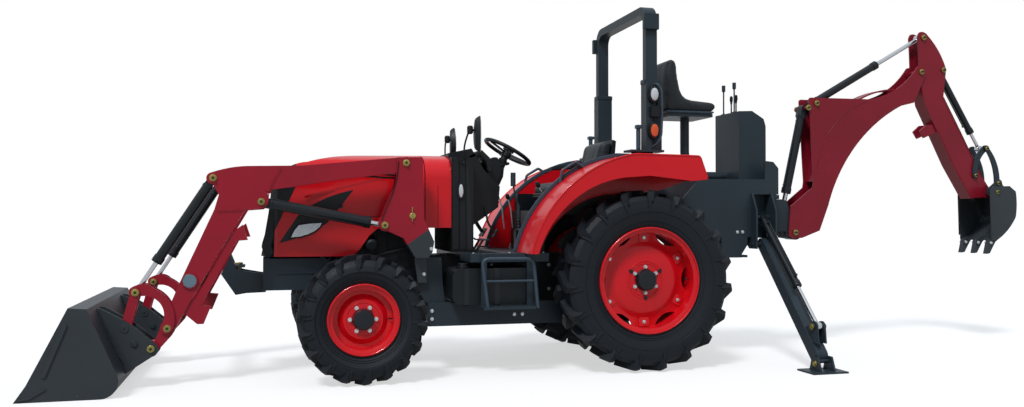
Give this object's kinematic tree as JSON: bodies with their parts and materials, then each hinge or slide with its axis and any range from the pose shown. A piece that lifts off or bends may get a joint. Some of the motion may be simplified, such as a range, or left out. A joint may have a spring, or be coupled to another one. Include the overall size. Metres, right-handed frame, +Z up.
{
  "type": "backhoe loader tractor",
  "caption": "Compact tractor with a front loader, a roll-over hoop and a rear backhoe on stabiliser legs, with working linkages.",
  "frame": {"origin": "on the ground under the middle of the machine's box", "axes": "+Z up, -X to the front (loader bucket), +X to the backhoe, -Y to the machine's left"},
  "size_m": [7.854, 2.45, 2.7185],
  "materials": {
    "red_paint": "gloss red enamel",
    "crimson_paint": "semi-gloss dark crimson enamel",
    "maroon_paint": "semi-gloss maroon enamel",
    "charcoal_paint": "satin charcoal powder coat",
    "bucket_paint": "satin dark grey paint, scuffed at the edge",
    "cast_iron": "painted dark casting",
    "tyre_rubber": "black tyre rubber",
    "black_plastic": "grained black moulding",
    "seat_vinyl": "black grained vinyl",
    "chrome_rod": "hard chrome",
    "lamp_lens": "clear polycarbonate"
  },
  "bodies": {
    "root": {"front_frame": "charcoal_paint", "front_axle": "cast_iron", "engine": "cast_iron", "drive_case": "cast_iron", "cowl": "red_paint", "dash": "black_plastic", "platform": "charcoal_paint", "fuel_tank": "black_plastic", "fenders": "red_paint", "seat_deck": "black_plastic", "driver_seat": "seat_vinyl", "rops": "charcoal_paint", "rops_lamps": "black_plastic", "mirrors": "black_plastic", "subframe": "charcoal_paint", "loader_masts": "crimson_paint", "backhoe_frame": "charcoal_paint", "control_tower": "charcoal_paint", "backhoe_seat": "seat_vinyl"},
    "hood_body": {"hood": "red_paint", "grille": "black_plastic", "headlamps": "lamp_lens"},
    "left_knuckle": {"knuckle_left": "cast_iron"},
    "right_knuckle": {"knuckle_right": "cast_iron"},
    "steering_wheel_body": {"steering_wheel": "black_plastic"},
    "arms": {"loader_arms": "crimson_paint"},
    "lift_barrel_pair": {"lift_barrels": "charcoal_paint"},
    "lift_rod_pair": {"lift_rods": "chrome_rod"},
    "curl_barrel_pair": {"curl_barrels": "charcoal_paint"},
    "curl_rod_pair": {"curl_rods": "chrome_rod"},
    "crank_pair": {"bell_cranks": "crimson_paint"},
    "link_pair": {"bucket_links": "crimson_paint"},
    "bucket": {"loader_bucket": "bucket_paint"},
    "swing_body": {"swing_post": "charcoal_paint"},
    "boom_body": {"boom": "maroon_paint"},
    "boom_barrel_body": {"boom_barrel": "charcoal_paint"},
    "boom_rod_body": {"boom_rod": "chrome_rod"},
    "dipper_body": {"dipper": "maroon_paint"},
    "crowd_barrel_body": {"crowd_barrel": "charcoal_paint"},
    "crowd_rod_body": {"crowd_rod": "chrome_rod"},
    "hoe_barrel_body": {"hoe_barrel": "charcoal_paint"},
    "hoe_rod_body": {"hoe_rod": "chrome_rod"},
    "hoe_lever_body": {"hoe_lever": "maroon_paint"},
    "hoe_link_body": {"hoe_link": "maroon_paint"},
    "hoe_bucket_body": {"hoe_bucket": "bucket_paint"},
    "front_left_wheel": {"front_left_tyre": "tyre_rubber", "front_left_rim": "red_paint"},
    "front_right_wheel": {"front_right_tyre": "tyre_rubber", "front_right_rim": "red_paint"},
    "rear_left_wheel": {"rear_left_tyre": "tyre_rubber", "rear_left_rim": "red_paint"},
    "rear_right_wheel": {"rear_right_tyre": "tyre_rubber", "rear_right_rim": "red_paint"},
    "stabiliser_left_leg_body": {"stabiliser_leg_left": "charcoal_paint"},
    "stabiliser_left_barrel_body": {"stabiliser_barrel_left": "charcoal_paint"},
    "stabiliser_left_rod_body": {"stabiliser_rod_left": "chrome_rod"},
    "stabiliser_right_leg_body": {"stabiliser_leg_right": "charcoal_paint"},
    "stabiliser_right_barrel_body": {"stabiliser_barrel_right": "charcoal_paint"},
    "stabiliser_right_rod_body": {"stabiliser_rod_right": "chrome_rod"}
  },
  "joints": [
    {"name": "rear_left_spin", "type": "hinge", "parent": "root", "child": "rear_left_wheel", "pos_m": [0.152, -0.678, 0.65], "axis": [0, 1, 0], "continuous": true},
    {"name": "rear_right_spin", "type": "hinge", "parent": "root", "child": "rear_right_wheel", "pos_m": [0.152, 0.678, 0.65], "axis": [0, 1, 0], "continuous": true},
    {"name": "steer_left", "type": "hinge", "parent": "root", "child": "left_knuckle", "pos_m": [-1.864, -0.56, 0.47], "axis": [0, 0, 1], "range_deg": [-35, 35]},
    {"name": "steer_right", "type": "hinge", "parent": "root", "child": "right_knuckle", "pos_m": [-1.864, 0.56, 0.47], "axis": [0, 0, 1], "range_deg": [-36, 36]},
    {"name": "front_left_spin", "type": "hinge", "parent": "left_knuckle", "child": "front_left_wheel", "pos_m": [-1.864, -0.73, 0.43], "axis": [0, 1, 0], "continuous": true},
    {"name": "front_right_spin", "type": "hinge", "parent": "right_knuckle", "child": "front_right_wheel", "pos_m": [-1.864, 0.73, 0.43], "axis": [0, 1, 0], "continuous": true},
    {"name": "steering_wheel_turn", "type": "hinge", "parent": "root", "child": "steering_wheel_body", "pos_m": [-0.678, 0, 1.605], "axis": [0.4845, 0, 0.8748], "range_deg": [-351, 351]},
    {"name": "hood_hinge", "type": "hinge", "parent": "root", "child": "hood_body", "pos_m": [-1.379, 0, 1.553], "axis": [0, 1, 0], "range_deg": [0, 48]},
    {"name": "lift", "type": "hinge", "parent": "root", "child": "arms", "pos_m": [-1.546, 0, 1.479], "axis": [0, 1, 0], "range_deg": [0, 72]},
    {"name": "lift_barrel_hinge", "type": "hinge", "parent": "arms", "child": "lift_barrel_pair", "pos_m": [-2.515, 0, 1.206], "axis": [0, 1, 0], "range_deg": [-9.29, 1]},
    {"name": "lift_rod_slide", "type": "slide", "parent": "lift_barrel_pair", "child": "lift_rod_pair", "axis": [0.9816, 0, -0.1911], "range_m": [-0.004, 0.533]},
    {"name": "curl", "type": "hinge", "parent": "arms", "child": "bucket", "pos_m": [-3.196, 0, 0.257], "axis": [0, -1, 0], "range_deg": [-35, 100]},
    {"name": "crank_hinge", "type": "hinge", "parent": "arms", "child": "crank_pair", "pos_m": [-3.101, 0, 0.38], "axis": [0, -1, 0], "range_deg": [-25.64, 71.4]},
    {"name": "link_hinge", "type": "hinge", "parent": "crank_pair", "child": "link_pair", "pos_m": [-3.293, 0, 0.619], "axis": [0, -1, 0], "range_deg": [-38.47, 14.12]},
    {"name": "curl_barrel_hinge", "type": "hinge", "parent": "arms", "child": "curl_barrel_pair", "pos_m": [-2.822, 0, 1.362], "axis": [0, -1, 0], "range_deg": [-1.57, 2.63]},
    {"name": "curl_rod_slide", "type": "slide", "parent": "curl_barrel_pair", "child": "curl_rod_pair", "axis": [-0.5354, 0, -0.8446], "range_m": [-0.1288, 0.3605]},
    {"name": "swing", "type": "hinge", "parent": "root", "child": "swing_body", "pos_m": [1.632, 0, 1.112], "axis": [0, 0, 1], "range_deg": [-85, 85]},
    {"name": "boom_raise", "type": "hinge", "parent": "swing_body", "child": "boom_body", "pos_m": [1.784, 0, 0.97], "axis": [0, -1, 0], "range_deg": [-90, 8]},
    {"name": "boom_barrel_hinge", "type": "hinge", "parent": "boom_body", "child": "boom_barrel_body", "pos_m": [1.909, 0, 2.018], "axis": [0, -1, 0], "range_deg": [-5.79, 1.43]},
    {"name": "boom_rod_slide", "type": "slide", "parent": "boom_barrel_body", "child": "boom_rod_body", "axis": [-0.2232, 0, -0.9748], "range_m": [-0.027, 0.2628]},
    {"name": "dipper_out", "type": "hinge", "parent": "boom_body", "child": "dipper_body", "pos_m": [3.029, 0, 2.363], "axis": [0, -1, 0], "range_deg": [-55, 55]},
    {"name": "crowd_barrel_hinge", "type": "hinge", "parent": "boom_body", "child": "crowd_barrel_body", "pos_m": [1.99, 0, 2.058], "axis": [0, -1, 0], "range_deg": [-8.17, 8.17]},
    {"name": "crowd_rod_slide", "type": "slide", "parent": "crowd_barrel_body", "child": "crowd_rod_body", "axis": [0.8697, 0, 0.4935], "range_m": [-0.2271, 0.2271]},
    {"name": "hoe_curl", "type": "hinge", "parent": "dipper_body", "child": "hoe_bucket_body", "pos_m": [3.728, 0, 1.318], "axis": [0, 1, 0], "range_deg": [-10, 110]},
    {"name": "hoe_lever_hinge", "type": "hinge", "parent": "dipper_body", "child": "hoe_lever_body", "pos_m": [3.592, 0, 1.467], "axis": [0, 1, 0], "range_deg": [-5.99, 55.94]},
    {"name": "hoe_link_hinge", "type": "hinge", "parent": "hoe_lever_body", "child": "hoe_link_body", "pos_m": [3.697, 0, 1.708], "axis": [0, 1, 0], "range_deg": [-27.07, 3.37]},
    {"name": "hoe_barrel_hinge", "type": "hinge", "parent": "dipper_body", "child": "hoe_barrel_body", "pos_m": [3.271, 0, 2.392], "axis": [0, 1, 0], "range_deg": [-4.48, 1.32]},
    {"name": "hoe_rod_slide", "type": "slide", "parent": "hoe_barrel_body", "child": "hoe_rod_body", "axis": [0.5287, 0, -0.8488], "range_m": [-0.0257, 0.2432]},
    {"name": "stabiliser_left_raise", "type": "hinge", "parent": "root", "child": "stabiliser_left_leg_body", "pos_m": [1.347, -0.35, 0.887], "axis": [-1, 0, 0], "range_deg": [0, 95]},
    {"name": "stabiliser_left_barrel_hinge", "type": "hinge", "parent": "root", "child": "stabiliser_left_barrel_body", "pos_m": [1.347, -0.3, 1.1], "axis": [-1, 0, 0], "range_deg": [-1, 87.43]},
    {"name": "stabiliser_left_rod_slide", "type": "slide", "parent": "stabiliser_left_barrel_body", "child": "stabiliser_left_rod_body", "axis": [0, -0.6974, -0.7167], "range_m": [-0.3034, 0.004]},
    {"name": "stabiliser_right_raise", "type": "hinge", "parent": "root", "child": "stabiliser_right_leg_body", "pos_m": [1.347, 0.35, 0.887], "axis": [1, 0, 0], "range_deg": [0, 95]},
    {"name": "stabiliser_right_barrel_hinge", "type": "hinge", "parent": "root", "child": "stabiliser_right_barrel_body", "pos_m": [1.347, 0.3, 1.1], "axis": [1, 0, 0], "range_deg": [-1, 87.43]},
    {"name": "stabiliser_right_rod_slide", "type": "slide", "parent": "stabiliser_right_barrel_body", "child": "stabiliser_right_rod_body", "axis": [0, 0.6974, -0.7167], "range_m": [-0.3034, 0.004]}
  ],
  "couplings": [
    {"joint": "steer_right", "follows": "steer_left", "ratio": 1},
    {"joint": "steering_wheel_turn", "follows": "steer_left", "ratio": 10},
    {"joint": "lift_barrel_hinge", "follows": "lift", "ratio": -0.11508},
    {"joint": "lift_rod_slide", "follows": "lift", "m_per_rad": 0.421},
    {"joint": "crank_hinge", "follows": "curl", "ratio": 0.70399},
    {"joint": "link_hinge", "follows": "curl", "ratio": -0.37473},
    {"joint": "curl_barrel_hinge", "follows": "curl", "ratio": 0.01634},
    {"joint": "curl_rod_slide", "follows": "curl", "m_per_rad": 0.20424},
    {"joint": "boom_barrel_hinge", "follows": "boom_raise", "ratio": 0.05319},
    {"joint": "boom_rod_slide", "follows": "boom_raise", "m_per_rad": -0.16473},
    {"joint": "crowd_barrel_hinge", "follows": "dipper_out", "ratio": 0.13032},
    {"joint": "crowd_rod_slide", "follows": "dipper_out", "m_per_rad": -0.23243},
    {"joint": "hoe_lever_hinge", "follows": "hoe_curl", "ratio": 0.49944},
    {"joint": "hoe_link_hinge", "follows": "hoe_curl", "ratio": -0.23701},
    {"joint": "hoe_barrel_hinge", "follows": "hoe_curl", "ratio": -0.03162},
    {"joint": "hoe_rod_slide", "follows": "hoe_curl", "m_per_rad": 0.12462},
    {"joint": "stabiliser_left_barrel_hinge", "follows": "stabiliser_left_raise", "ratio": 0.90974},
    {"joint": "stabiliser_left_rod_slide", "follows": "stabiliser_left_raise", "m_per_rad": -0.18059},
    {"joint": "stabiliser_right_barrel_hinge", "follows": "stabiliser_right_raise", "ratio": 0.90974},
    {"joint": "stabiliser_right_rod_slide", "follows": "stabiliser_right_raise", "m_per_rad": -0.18059}
  ]
}
